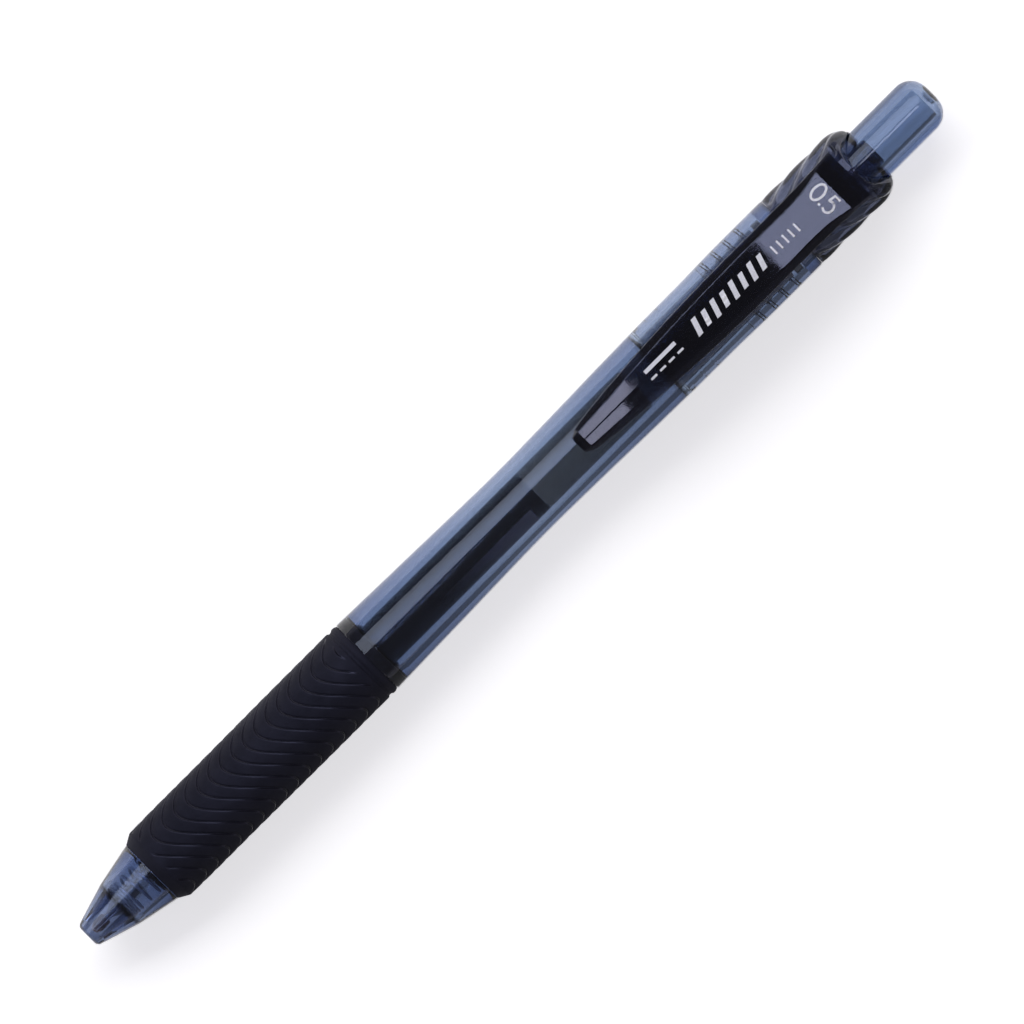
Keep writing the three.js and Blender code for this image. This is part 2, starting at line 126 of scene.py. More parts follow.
class Shader:
    """A material with one Principled shader, whose constants are set by socket name."""

    def __init__(self, name, color, **constants):
        self.material = bpy.data.materials.new(name)
        self.material.use_nodes = True
        self.tree = self.material.node_tree
        self.surface = self.tree.nodes["Principled BSDF"]
        self.surface.inputs["Base Color"].default_value = (*color, 1)
        for socket, value in constants.items():
            self.surface.inputs[socket.replace("_", " ").title().replace("Ior", "IOR")].default_value = value

    def node(self, kind, **settings):
        made = self.tree.nodes.new(kind)
        for name, value in settings.items():
            setattr(made, name, value)
        return made

    def link(self, source, target):
        self.tree.links.new(source, target)

    def axis(self, name):
        """The object's own coordinate along an axis, in metres."""
        where = self.node("ShaderNodeTexCoord")
        split = self.node("ShaderNodeSeparateXYZ")
        self.link(where.outputs["Object"], split.inputs["Vector"])
        return split.outputs[name]

    def noise(self, scale, detail=4, stretch=(1, 1, 1)):
        """Noise in the object's own coordinates, in metres, stretched along its axes."""
        where = self.node("ShaderNodeTexCoord")
        mapping = self.node("ShaderNodeMapping")
        mapping.inputs["Scale"].default_value = stretch
        made = self.node("ShaderNodeTexNoise")
        made.inputs["Scale"].default_value = scale
        made.inputs["Detail"].default_value = detail
        self.link(where.outputs["Object"], mapping.inputs["Vector"])
        self.link(mapping.outputs["Vector"], made.inputs["Vector"])
        return made.outputs["Fac"]

    def mapped(self, value, first, last, low=0, high=1):
        """The value carried from the range first to last over to the range low to high, and kept in it."""
        made = self.node("ShaderNodeMapRange")
        limits = {"From Min": first, "From Max": last, "To Min": low, "To Max": high}
        for socket, limit in limits.items():
            made.inputs[socket].default_value = limit
        self.link(value, made.inputs["Value"])
        return made.outputs["Result"]

    def colors(self, value, stops):
        """A colour that follows the value through (position, colour) stops."""
        made = self.node("ShaderNodeValToRGB")
        elements = made.color_ramp.elements
        while len(elements) < len(stops):
            elements.new(1.0)
        for element, (position, color) in zip(elements, stops):
            element.position = position
            element.color = (*color, 1)
        self.link(value, made.inputs["Fac"])
        return made.outputs["Color"]

    def levels(self, value, first, last, greys):
        """Greys spread evenly over the values first to last, the last of them a step just past it."""
        runs, step = max(1, len(greys) - 2), 0.99
        stops = [(i / runs * step, (grey,) * 3) for i, grey in enumerate(greys[:-1])]
        share = self.mapped(value, first, last + (last - first) * (1 - step))
        return self.colors(share, [*stops, (1, (greys[-1],) * 3)])

    def rough(self, value, low, high):
        """Roughness between two values, from the middle range of a noise."""
        self.link(self.mapped(value, 0.3, 0.7, low, high), self.surface.inputs["Roughness"])
        return self

    def bump(self, value, depth_mm):
        made = self.node("ShaderNodeBump")
        made.inputs["Distance"].default_value = depth_mm * MM
        self.link(value, made.inputs["Height"])
        self.link(made.outputs["Normal"], self.surface.inputs["Normal"])
        return self

    def tinted(self, value, dark, light):
        """Base colour that wanders between two colours."""
        self.link(self.colors(value, [(0.35, dark), (0.65, light)]), self.surface.inputs["Base Color"])
        return self

    def absorbing(self, color, density):
        """Plastic that darkens with its thickness: density is per metre."""
        made = self.node("ShaderNodeVolumeAbsorption")
        made.inputs["Color"].default_value = (*color, 1)
        made.inputs["Density"].default_value = density
        self.link(made.outputs["Volume"], self.tree.nodes["Material Output"].inputs["Volume"])
        return self


def clear_plastic(name, color, absorbed, density):
    """Moulded clear plastic: faint flow marks along the pen and fine wear in its polish."""
    polish = 0.02
    made = Shader(name, color, transmission_weight=1.0, ior=1.5, roughness=polish)
    made.rough(made.noise(900, stretch=(0.3, 1, 1)), polish, polish + 0.035)
    return made.absorbing(absorbed, density)


SMOKE = (0.73, 0.79, 0.84)
SMOKE_DEPTH = (0.0, 0.144, 0.44), 485  # colour and density of what the smoke plastic absorbs
BLACK = (0.02, 0.02, 0.03)
# The front barrel's tint by station, much of it painted shade: deeper round the ribs of its nose,
# darkest on the faces that end the nose's bores and where it meets the rear barrel, and deep along the
# spigot inside that barrel. All three are painted shade; the plain smoke between them is the plastic's own
# colour.
FRONT_TINTS_AND_SHADE = [
    (0.0, (0.36, 0.4, 0.5)), (1.18, (0.4, 0.44, 0.54)), (1.25, (0.12, 0.13, 0.18)),
    (1.34, (0.44, 0.48, 0.57)), (5.46, (0.46, 0.5, 0.6)), (5.5, BLACK), (5.68, BLACK),
    (5.72, (0.46, 0.51, 0.62)), (11.5, (0.56, 0.62, 0.72)), (14, SMOKE), (97.76, SMOKE), (97.78, BLACK),
    (97.84, BLACK), (97.86, (0.3, 0.35, 0.42)),
]
# The rear barrel's tint by station, with painted shade: dark on its front face, in the groove inside its
# mouth, and on the face that meets the crown, as painted dark lines where parts meet; the plain smoke
# between is its own colour.
REAR_TINTS_AND_SHADE = [
    (97.94, BLACK), (97.96, SMOKE), (98.48, SMOKE), (98.52, (0.3, 0.32, 0.36)),
    (98.72, (0.3, 0.32, 0.36)), (98.76, SMOKE), (120.74, SMOKE), (120.78, BLACK), (121.1, BLACK),
    (121.3, SMOKE),
]


def barrel_plastic(name, length, tints_and_shade):
    """Smoke plastic whose tint and painted shade follow (station, colour) stops along a barrel that ends at
    the length.
    """
    made = clear_plastic(name, SMOKE, *SMOKE_DEPTH)
    share = made.mapped(made.axis("X"), START_X, START_X + length * MM)
    tint = made.colors(share, [(station / length, color) for station, color in tints_and_shade])
    made.link(tint, made.surface.inputs["Base Color"])
    return made.material


def dark_smoke_plastic(name, density):
    """The clip's and crown's deeper tint, whose gloss is a little violet."""
    made = clear_plastic(name, (0.62, 0.63, 0.74), (0.0, 0.06, 0.2), density)
    made.surface.inputs["Specular IOR Level"].default_value = 0.56
    made.surface.inputs["Specular Tint"].default_value = (0.88, 0.88, 1.0, 1)
    return made.material


def worn(name, color, grain, stretch, smooth, rough, **constants):
    """A plain material whose roughness wanders with a grain that may be drawn out along the pen."""
    made = Shader(name, color, **constants)
    made.rough(made.noise(grain, stretch=(stretch, 1, 1)), smooth, rough)
    return made.material


def natural_plastic():
    """Cloudy uncoloured plastic of the refill's parts."""
    glassy = {"transmission_weight": 1.0, "ior": 1.5, "roughness": 0.1}
    return worn("natural_plastic", (0.92, 0.9, 0.86), 1200, 0.2, 0.05, 0.14, **glassy)


def grip_rubber():
    """Matte black rubber with a fine mould grain, smoother in the grooves than on the ribs between them."""
    made = Shader("grip_rubber", (0.006, 0.006, 0.009), roughness=0.75, ior=1.5, specular_ior_level=0.32)
    made.surface.inputs["Specular Tint"].default_value = (0.8, 0.77, 1.0, 1)
    made.tinted(made.noise(500), (0.003, 0.003, 0.005), (0.0055, 0.0055, 0.009))
    grain = made.mapped(made.noise(160), 0.3, 0.7, 0.72, 0.84)
    smooth = made.node("ShaderNodeAttribute", attribute_name=SMOOTHED)
    mixed = made.node("ShaderNodeMix")
    mixed.inputs["B"].default_value = 0.12
    made.link(smooth.outputs["Fac"], mixed.inputs["Factor"])
    made.link(grain, mixed.inputs["A"])
    made.link(mixed.outputs["Result"], made.surface.inputs["Roughness"])
    made.bump(made.noise(9000, detail=2), 0.003)
    return made.material


def black_ink():
    """Ink wetting the inside of its tube, with a pale painted reflection on one side of it between two
    stations.
    """
    made = Shader("black_ink", (0.0035, 0.0035, 0.005), roughness=0.12, ior=1.34)
    made.rough(made.noise(700, stretch=(0.2, 1, 1)), 0.08, 0.2)
    # The pale colour mixed in below is a painted reflection, laid on one side of the ink between two
    # stations.
    reflection_along_pen = made.levels(made.axis("X"), START_X + 59 * MM, START_X + 74.6 * MM, (0, 0.3, 0.8, 1, 0))
    reflection_across_pen = made.levels(made.axis("Y"), -1.25 * MM, -1.15 * MM, (1, 0))
    both = made.node("ShaderNodeMath", operation="MULTIPLY")
    made.link(reflection_along_pen, both.inputs[0])
    made.link(reflection_across_pen, both.inputs[1])
    mixed = made.node("ShaderNodeMix", data_type="RGBA")
    mixed.inputs["A"].default_value = (0.0035, 0.0035, 0.005, 1)
    mixed.inputs["B"].default_value = (0.7, 0.6, 0.62, 1)
    made.link(both.outputs["Value"], mixed.inputs["Factor"])
    made.link(mixed.outputs["Result"], made.surface.inputs["Base Color"])
    return made.material


def clear_grease():
    cloudy = {"transmission_weight": 0.7, "ior": 1.45, "roughness": 0.15}
    return worn("clear_grease", (0.5, 0.46, 0.4), 1600, 1, 0.1, 0.25, **cloudy)


def drawn_wire():
    """Bright spring wire with draw marks."""
    return worn("spring_steel", (0.97, 0.97, 0.97), 2500, 4, 0.24, 0.34, metallic=0.4, roughness=0.28)


def nickel_silver():
    """Metal of the writing point, with turning marks."""
    return worn("nickel_silver", (0.72, 0.68, 0.62), 3000, 6, 0.36, 0.48, metallic=1.0, roughness=0.4)


def amber_seal():
    """Soft brown pellet, cloudy and a little translucent."""
    made = Shader("amber_seal", (1.0, 0.72, 0.54), roughness=0.4, transmission_weight=0.12, ior=1.45)
    made.tinted(made.noise(1500), (0.62, 0.42, 0.31), (0.8, 0.57, 0.43))
    return made.material


def clip_print():
    """Silvery white pad print, slightly uneven in its coverage."""
    made = Shader("clip_print", (0.75, 0.76, 0.79), roughness=0.4)
    made.tinted(made.noise(6000), (0.76, 0.76, 0.8), (0.9, 0.9, 0.94))
    return made.material


MATERIALS = {
    "smoke_plastic": clear_plastic("smoke_plastic", SMOKE, *SMOKE_DEPTH).material,
    "front_plastic": barrel_plastic("front_plastic", SPIGOT_END, FRONT_TINTS_AND_SHADE),
    "rear_plastic": barrel_plastic("rear_plastic", NECK_END, REAR_TINTS_AND_SHADE),
    "button_plastic": clear_plastic(
        "button_plastic", (0.54, 0.62, 0.72), (0.0, 0.14, 0.42), 290
    ).material,
    "dark_smoke_plastic": dark_smoke_plastic("dark_smoke_plastic", 2000),
    "crown_plastic": dark_smoke_plastic("crown_plastic", 900),
    "natural_plastic": natural_plastic(),
    "grip_rubber": grip_rubber(),
    "black_plastic": worn("black_plastic", (0.01, 0.01, 0.012), 1500, 1, 0.25, 0.4, roughness=0.3),
    "black_ink": black_ink(),
    "clear_grease": clear_grease(),
    "spring_steel": drawn_wire(),
    "nickel_silver": nickel_silver(),
    "amber_seal": amber_seal(),
    "clip_print": clip_print(),
}

# ---- Mesh helpers ----


def solid(name, points, faces, sharp_degrees=35):
    """A mesh object with merged points, outward faces, and smooth shading that breaks at sharp edges."""
    mesh = bpy.data.meshes.new(name)
    mesh.from_pydata(points, [], faces)
    made = bmesh.new()
    made.from_mesh(mesh)
    bmesh.ops.remove_doubles(made, verts=made.verts, dist=1e-7)
    bmesh.ops.dissolve_degenerate(made, edges=made.edges, dist=1e-8)
    bmesh.ops.recalc_face_normals(made, faces=made.faces)
    made.to_mesh(mesh)
    made.free()
    mesh.polygons.foreach_set("use_smooth", [True] * len(mesh.polygons))
    mesh.set_sharp_from_angle(angle=math.radians(sharp_degrees))
    return placed(name, mesh)


def steps(start, stop, count):
    """count + 1 even values from start to stop."""
    return [start + (stop - start) * i / count for i in range(count + 1)]


def fillet(before, corner, after, size, segments=4):
    """The points of a round between two straight runs of an outline."""
    corner = Vector(corner)
    towards, away = Vector(before) - corner, Vector(after) - corner
    half = towards.angle(away) / 2
    reach = min(size / math.tan(half), 0.45 * towards.length, 0.45 * away.length)
    first, last = corner + towards.normalized() * reach, corner + away.normalized() * reach
    bulge = corner + (towards.normalized() + away.normalized()).normalized() * reach / math.cos(half)
    spread = (first - bulge).length
    arc = []
    for share in steps(0, 1, segments):
        direction = (first - bulge).slerp(last - bulge, share)
        arc.append(tuple(bulge + direction.normalized() * spread))
    return arc


def outline(*corners):
    """A closed outline of (station, radius) corners; a third number rounds that corner off."""
    points = []
    for i, corner in enumerate(corners):
        if len(corner) == 2:
            points.append(corner)
            continue
        before, after = corners[i - 1][:2], corners[(i + 1) % len(corners)][:2]
        points += fillet(before, corner[:2], after, corner[2])
    return points


def smooth_line(knots, stops):
    """Values at the given stops of a smooth curve through (station, value) knots."""
    values = []
    for stop in stops:
        i = max(1, min(len(knots) - 1, next((k for k, knot in enumerate(knots) if knot[0] >= stop), 0)))
        (x0, y0), (x1, y1) = knots[i - 1], knots[i]
        before, after = knots[max(i - 2, 0)], knots[min(i + 1, len(knots) - 1)]
        slope0 = (y1 - before[1]) / (x1 - before[0])
        slope1 = (after[1] - y0) / (after[0] - x0)
        t, run = (stop - x0) / (x1 - x0), x1 - x0
        values.append(
            (1 + 2 * t) * (1 - t) ** 2 * y0
            + t * (1 - t) ** 2 * run * slope0
            + t * t * (3 - 2 * t) * y1
            + t * t * (t - 1) * run * slope1
        )
    return values


def along(knots, spacing):
    """The smooth curve through (station, value) knots as points about that far apart."""
    first, last = knots[0][0], knots[-1][0]
    stops = steps(first, last, max(1, round((last - first) / spacing)))
    return list(zip(stops, smooth_line(knots, stops)))


def held(points, margin=0.03, shallow=3):
    """The outline with a point added on each long run beside a real corner, so that the run shades flat."""
    corners = [Vector(point) for point in points]
    kept = []
    for i, corner in enumerate(corners):
        before, after = corners[i - 1] - corner, corners[(i + 1) % len(corners)] - corner
        apart = min(before.length, after.length) > 0
        bends = apart and math.degrees(math.pi - before.angle(after)) > shallow
        if bends and before.length > 4 * margin:
            kept.append(tuple(corner + before.normalized() * margin))
        kept.append(points[i])
        if bends and after.length > 4 * margin:
            kept.append(tuple(corner + after.normalized() * margin))
    return kept


def strips(count, size, closed=False):
    """Quads that join each ring of points to the next."""
    faces = []
    for i in range(count if closed else count - 1):
        here, there = i * size, (i + 1) % count * size
        for k in range(size):
            following = (k + 1) % size
            faces.append((here + k, there + k, there + following, here + following))
    return faces


def wrapped(name, rings, closed=True, sharp_degrees=35):
    """A skin through rings of points; the last ring joins the first unless both ends lie on the axis."""
    faces = strips(len(rings), len(rings[0]), closed)
    return solid(name, [point for ring in rings for point in ring], faces, sharp_degrees)


def plain_ring(point, sides):
    return [place(point[0], 2 * math.pi * k / sides, point[1]) for k in range(sides)]


def turned(name, points, sides=96, shape=None, sharp_degrees=35):
    """A closed outline turned round the pen's axis; shape(station, angle, radius) may move each point."""
    on_axis = points[0][1] == 0 and points[-1][1] == 0
    rings = []
    for station, radius in held(points):
        ring = []
        for k in range(sides):
            angle = 2 * math.pi * k / sides
            spot = shape(station, angle, radius) if shape else (station, radius)
            ring.append(place(spot[0], angle, spot[1]))
        rings.append(ring)
    return wrapped(name, rings, not on_axis, sharp_degrees)


def lofted(name, sections, sharp_degrees=35):
    """A closed skin through closed loops of points, capped at both ends."""
    size = len(sections[0])
    points = [point for section in sections for point in section]
    caps = [tuple(range(size)), tuple(range(len(points) - size, len(points)))]
    return solid(name, points, caps + strips(len(sections), size), sharp_degrees)


def wire(name, centre_line, radius, sides=10):
    """Round wire along a list of points."""
    sections = []
    for i, point in enumerate(centre_line):
        ahead = centre_line[min(i + 1, len(centre_line) - 1)] - centre_line[max(i - 1, 0)]
        outward = point - Vector((point.x, 0, AXIS_Z))
        side = ahead.cross(outward).normalized()
        up = side.cross(ahead).normalized()
        sections.append(
            [
                point + (side * math.cos(turn) + up * math.sin(turn)) * radius * MM
                for turn in (2 * math.pi * k / sides for k in range(sides))
            ]
        )
    return lofted(name, sections, 60)


def fit(piece, node, body, slot, material=None):
    """Puts a finished piece in a CAD node's place."""
    piece.data.materials.append(MATERIALS[material or slot])
    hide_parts(node)
    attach(piece, body)
    return piece


# ---- Front barrel ----

WAIST = [
    (GRIP_END + 0.12, 5.36), (52, 5.26), (56, 5.16), (60, 5.07), (64, 4.96), (68, 4.86), (72, 4.77),
    (76, 4.75), (80, 4.8), (86, 4.92), (92, 5.07), (COLLAR_END - 0.1, 5.17),
]


def thread_ridge(station, angle):
    """0 to 1 across one turn of the screw thread: a flat root, two flanks and a narrow flat crest."""
    phase = (station / THREAD_PITCH - angle / (2 * math.pi)) % 1
    return max(0, min(1, 4.5 - abs(phase - 0.5) * 18))


def nose_rib(angle):
    """1 on the six ribs inside the nose and 0 between them."""
    count, half_width = 6, 0.16
    sector = 2 * math.pi / count
    away = abs((angle + sector / 2) % sector - sector / 2)
    return 1 if away < half_width else 0


def front_barrel():
    thread_from, thread_to = 109.6, SPIGOT_END - 0.4
    spigot = [(station, SPIGOT_RADIUS) for station in steps(thread_from, thread_to, 64)]
    shell = [
        *outline(
            (0.04, 1.28, 0.04), (0.04, 1.42, 0.08), (0.3, 1.74, 0.3), (1.25, 2.06, 0.4),
            (SPRING_SEAT, 3.4, 2.0), (GRIP_FRONT - 0.02, 4.52, 0.06), (GRIP_FRONT - 0.02, 4.1),
            (GRIP_END, 4.1), (GRIP_END, 4.46), (TONGUE_END + 0.05, 4.46), (TONGUE_END + 0.05, 5.08),
            (GRIP_END + 0.02, 5.08),
        ),
        (GRIP_END + 0.02, 5.3),
        *along(WAIST, 1.0),
        *outline(
            (COLLAR_END, 5.17, 0.05), (COLLAR_END, SPIGOT_RADIUS), (thread_from, SPIGOT_RADIUS),
        )[:-1],
        *spigot,
        *outline(
            (SPIGOT_END, SPIGOT_RADIUS, 0.2), (SPIGOT_END, 3.55, 0.1), (SEAM + 0.5, 3.55),
            (SEAM + 0.1, REFILL_BORE, 0.1), (50.6, REFILL_BORE, 0.5), (47.5, 3.3, 0.5), (19, 3.3),
            (12.5, 2.8), (SPRING_SEAT + 1.2, 2.8), (SPRING_SEAT + 1.2, 3.0), (SPRING_SEAT, 3.0),
        ),
        (SPRING_SEAT, 2.35), (SPRING_SEAT - 0.05, 2.35), (1.36, 1.55), (1.3, 1.55), (1.3, 1.28),
    ]

    def shape(station, angle, radius):
        if thread_from < station < thread_to and abs(radius - SPIGOT_RADIUS) < 0.001:
            ease = min(1, (station - thread_from) / 0.5, (thread_to - station) / 0.5)
            return station, radius + THREAD_HEIGHT * ease * thread_ridge(station, angle)
        if 1.33 < station < SPRING_SEAT - 0.02 and radius < 1.65 + (station - 1.36) * 0.19:
            return station, radius - nose_rib(angle) * (radius - 1.32)
        return station, radius

    piece = turned("front_barrel_shell", shell, 192, shape)
    return fit(piece, "front_barrel", "lower_barrel", "smoke_plastic", "front_plastic")


# ---- Grip ----

GROOVE_PITCH = 1.971
GROOVE_START = 18.26  # station of one groove at the point of its zigzag nearest the writing end
RIBBED_FROM, RIBBED_TO = 12.55, 46.3
# Depth of the ribbed skin beside a groove's line, by the distance behind that line: a crest that rounds down
# into the groove, a steep wall out of it, and a long slope up to the next crest.
RIB_PROFILE = [
    (-0.98, 0), (-0.5, 0), (-0.36, 0.003), (-0.28, 0.014), (-0.2, 0.04), (-0.12, 0.086), (-0.05, 0.14),
    (0.01, 0.165), (0.06, 0.11), (0.12, 0.072), (0.25, 0.056), (0.6, 0.03), (0.98, 0),
]
GRIP_OUTLINE = [(RIBBED_FROM, 5.28), (16, 5.33), (24, 5.33), (30, 5.36), (36, 5.39), (RIBBED_TO, 5.39)]


def chevron(angle):
    """How far back a groove has run at an angle: two round-nosed zigzags round the grip."""
    quarter, softness, slope = 90, 20, 0.095
    tip = -31  # angle of the point of a zigzag nearest the writing end
    away = abs((math.degrees(angle) - tip + quarter) % (2 * quarter) - quarter)
    rise = slope * (math.hypot(quarter / 2, softness) - softness)
    if away < quarter / 2:
        return slope * (math.hypot(away, softness) - softness)
    return 2 * rise - slope * (math.hypot(quarter - away, softness) - softness)


def ribbed_rings(sides):
    """Rings of the grip's ribbed skin, each of which follows the grooves."""
    rings = []
    first = math.floor((RIBBED_FROM - 6 - GROOVE_START) / GROOVE_PITCH)
    last = math.ceil((RIBBED_TO - GROOVE_START) / GROOVE_PITCH)
    for groove in range(first, last + 1):
        for behind, depth in RIB_PROFILE[:-1]:
            ring = []
            for k in range(sides):
                angle = 2 * math.pi * k / sides
                station = GROOVE_START + groove * GROOVE_PITCH + behind + chevron(angle)
                station = min(max(station, RIBBED_FROM), RIBBED_TO)
                fade = max(0, min(1, (station - RIBBED_FROM) / 0.5, (RIBBED_TO - 0.6 - station) / 0.5))
                ring.append(place(station, angle, smooth_line(GRIP_OUTLINE, [station])[0] - depth * fade))
            rings.append(ring)
    return rings


def mark_grooves(piece):
    """Gives each point of the grip its value of how near the bright side of a groove it lies."""
    values = piece.data.attributes.new(SMOOTHED, "FLOAT", "POINT")
    for i, point in enumerate(piece.data.vertices):
        station = (point.co.x - START_X) / MM
        angle = math.atan2(-point.co.y, point.co.z - AXIS_Z)
        behind = (station - GROOVE_START - chevron(angle) + 0.98) % GROOVE_PITCH - 0.98
        if RIBBED_FROM + 0.1 < station < RIBBED_TO - 0.3:
            values.data[i].value = math.exp(-(((behind + 0.16) / 0.14) ** 2))


def grip_sleeve():
    sides = 216
    front = outline((GRIP_FRONT, 4.16), (GRIP_FRONT, 4.52, 0.08), (12.35, 5.24, 0.6), (RIBBED_FROM, 5.28))
    rear = outline(
        (RIBBED_TO, 5.39), (46.45, 5.37, 0.1), (46.65, 5.2, 0.1), (46.95, 5.22, 0.15),
        (47.2, BEAD_RADIUS, 0.2), (47.6, BEAD_RADIUS, 0.2), (47.85, 5.26, 0.1),
        (GRIP_END - 0.04, 5.24, 0.04), (GRIP_END - 0.04, 5.09), (TONGUE_END, 5.09), (TONGUE_END, 4.52),
        (GRIP_END - 0.04, 4.52), (GRIP_END - 0.04, 4.16),
    )
    rings = [plain_ring(point, sides) for point in front] + ribbed_rings(sides)
    rings += [plain_ring(point, sides) for point in rear]
    piece = wrapped("grip_sleeve_rubber", rings, True, 60)
    mark_grooves(piece)
    return fit(piece, "grip_sleeve", "lower_barrel", "grip_rubber")


# ---- Rear barrel, crown and clip ----


def bore_thread(station, angle):
    """Depth of the threads in the rear barrel's bore: a deep one for the spigot and a faint one in front."""
    for first, last, depth in ((99.6, 103.9, 0.035), (109.75, 117.6, 0.14)):
        if first < station < last:
            ease = min(1, (station - first) / 0.4, (last - station) / 0.4)
            phase = (station / THREAD_PITCH - angle / (2 * math.pi) + 0.96) % 1
            return depth * ease * max(0, min(1, 2.6 - abs(phase - 0.5) * 22))
    return 0


def rear_barrel():
    side = [(SEAM + 0.1, 5.19), (100, 5.22), (107, 5.25), (110.5, 5.33), (113, 5.37), (120.7, 5.37)]
    front_bore = [(station, SLEEVE_BORE) for station in steps(117.7, 109.7, 92)]
    front_bore += [(109.66, SLEEVE_BORE + 0.2), (109.56, SLEEVE_BORE + 0.2)]
    front_bore += [(station, SLEEVE_BORE + 0.06) for station in steps(109.5, 99.5, 100)]
    shell = [
        *outline((SEAM - 0.02, 4.48), (SEAM - 0.02, 5.18, 0.05), (SEAM + 0.1, 5.19))[:-1],
        *along(side, 0.8),
        *outline(
            (CROWN_FRONT - 0.03, 5.37, 0.06), (CROWN_FRONT - 0.03, 4.35), (NECK_END, 4.35, 0.1),
            (NECK_END, 3.74, 0.1), (124.8, 3.74), (124.8, 3.56), (119.1, 3.56), (119.1, SLEEVE_BORE),
        ),
        *front_bore, (98.8, 4.36), (98.74, 4.7), (98.56, 4.7), (98.5, 4.48),
    ]

    def shape(station, angle, radius):
        return station, radius + bore_thread(station, angle) if 4.15 < radius < 4.265 else radius

    piece = turned("rear_barrel_shell", shell, 168, shape)
    return fit(piece, "rear_barrel", "upper_barrel", "smoke_plastic", "rear_plastic")


def crown_lobe(station, angle):
    """0 to 1 over the crown's twisted lobes, which run back and round from both sides of the clip."""
    pitch, lean = 4.45, 7.1
    turn = math.pi - abs(angle - math.pi)
    phase = (station - 119.0 - lean * (turn - math.radians(43))) / pitch
    return abs(math.sin(math.pi * phase)) ** 1.1


def crown():
    front, rim_base, rim_end = CROWN_FRONT, NECK_END + 0.15, 134.5
    bore = BUTTON_RADIUS + 0.17
    body = [(station, 5.12) for station in steps(front + 0.1, 132.2, 90)]
    shoulder = [
        (132.2 + 2.15 * math.sin(turn), 3.5 + 1.62 * math.cos(turn) ** 0.9)
        for turn in steps(0.08, math.radians(78), 12)
    ]
    shell = [
        *outline((front, 4.45), (front, 5.12, 0.06), (front + 0.1, 5.12))[:-1], *body, *shoulder,
        *outline((rim_end, 3.95), (rim_end, bore, 0.1), (rim_base, bore), (rim_base, 4.45))[1:],
    ]

    def shape(station, angle, radius):
        turn = math.pi - abs(angle - math.pi)
        scoop = 0.87 * math.cos(min(turn, math.pi / 2)) ** 1.5
        if station > rim_base:
            ease = min(1, (station - rim_base) / 0.8)
            moved = rim_base + (station - rim_base) * (1 - scoop * ease)
        else:
            moved = station
        if radius < 4.6:
            return moved, radius
        ease = max(0, min(1, (134.2 - station) / 2.4))
        start = max(0, min(1, (station - front) / 0.7))
        flank = max(0, min(1, (math.degrees(turn) - 30) / 10))
        valley = 0.06 + 0.2 * math.exp(-(((math.degrees(turn) - 55) / 20) ** 2))
        lobe = crown_lobe(station, angle)
        bulge = flank * (0.26 * lobe - valley * (1 - lobe)) + (1 - flank) * 0.08
        return moved, radius + ease * (start * bulge + (1 - start) * 0.2)

    piece = turned("crown_collar", shell, 240, shape, 40)
    cut_slot(piece, (TONGUE_FROM - 0.25, TONGUE_TO + 0.25), TONGUE_HALF + 0.25, 4.0)
    return fit(piece, "crown", "upper_barrel", "dark_smoke_plastic", "crown_plastic")


TONGUE_FROM, TONGUE_TO, TONGUE_HALF = 127.2, 129.6, 1.9


def cut_slot(piece, ends, half_width, low):
    """Cuts the clip's slot through the top of a piece."""
    corners = [
        at(station, across, height)
        for station in ends
        for across in (-half_width, half_width)
        for height in (low, 7)
    ]
    faces = [(0, 1, 3, 2), (4, 6, 7, 5), (0, 4, 5, 1), (2, 3, 7, 6), (0, 2, 6, 4), (1, 5, 7, 3)]
    cutter = solid("slot_cutter", corners, faces)
    modifier = piece.modifiers.new("slot", "BOOLEAN")
    modifier.operation = "DIFFERENCE"
    modifier.solver = "EXACT"
    modifier.object = cutter
    carved = bpy.data.meshes.new_from_object(piece.evaluated_get(bpy.context.evaluated_depsgraph_get()))
    piece.modifiers.clear()
    piece.data = carved
    bpy.data.objects.remove(cutter)


# Half widths of the clip's top and of its base, and the height of its underside, by station.
CLIP_TOP_HALF = [
    (84.3, 1.0), (85.4, 1.2), (87, 1.32), (90, 1.47), (95, 1.8), (100, 2.1), (106, 2.34), (112, 2.46),
    (118, 2.48), (123.5, 2.46), (125.5, 2.65), (128.1, 3.15), (CLIP_REAR, 3.45),
]
CLIP_BASE_HALF = [
    (84.3, 1.15), (85.4, 1.75), (87, 2.02), (90, 2.36), (95, 2.76), (98, 2.95), (105, 3.3),
    (112, 3.44), (120, 3.43), (125, 3.5), (128.1, 3.62), (CLIP_REAR, 3.84),
]
CLIP_UNDER = [
    (84.3, 6.0), (85.0, 5.5), (85.7, 5.31), (87.2, 5.31), (88.2, 5.55), (90, 6.05), (95, 6.3),
    (107, 6.45), (118, 6.35), (121.5, 6.1), (123.5, 5.45), (127, 5.42), (CLIP_REAR, 5.62),
]
CLIP_NOSE = 85.4  # where the top's front facet ends
CLIP_ROOT = 128.1  # where its rear facet begins
RIDGE = 0.02  # slope of the clip's top away from the crease along its middle


def clip_top(station):
    """Height of the clip's top at its edge: an arch between two straight facets."""
    if station < CLIP_NOSE:
        return 6.4 + (station - 84.3) * (7.09 - 6.4) / (CLIP_NOSE - 84.3)
    run = min(station, CLIP_ROOT) - CLIP_NOSE
    arch = 7.09 + 0.075 * run - 0.0015225 * run * run
    return arch - max(0, station - CLIP_ROOT) * 0.52


def edge_round(before, corner, after, size):
    """A rounded corner of a section, with a point held on the flat at either side of it."""
    corner = Vector(corner)
    towards, away = (Vector(before) - corner).normalized(), (Vector(after) - corner).normalized()
    arc = [Vector(point) for point in fillet(before, corner, after, size, 3)]
    return [arc[0] + towards * 0.03, *arc, arc[-1] + away * 0.03]


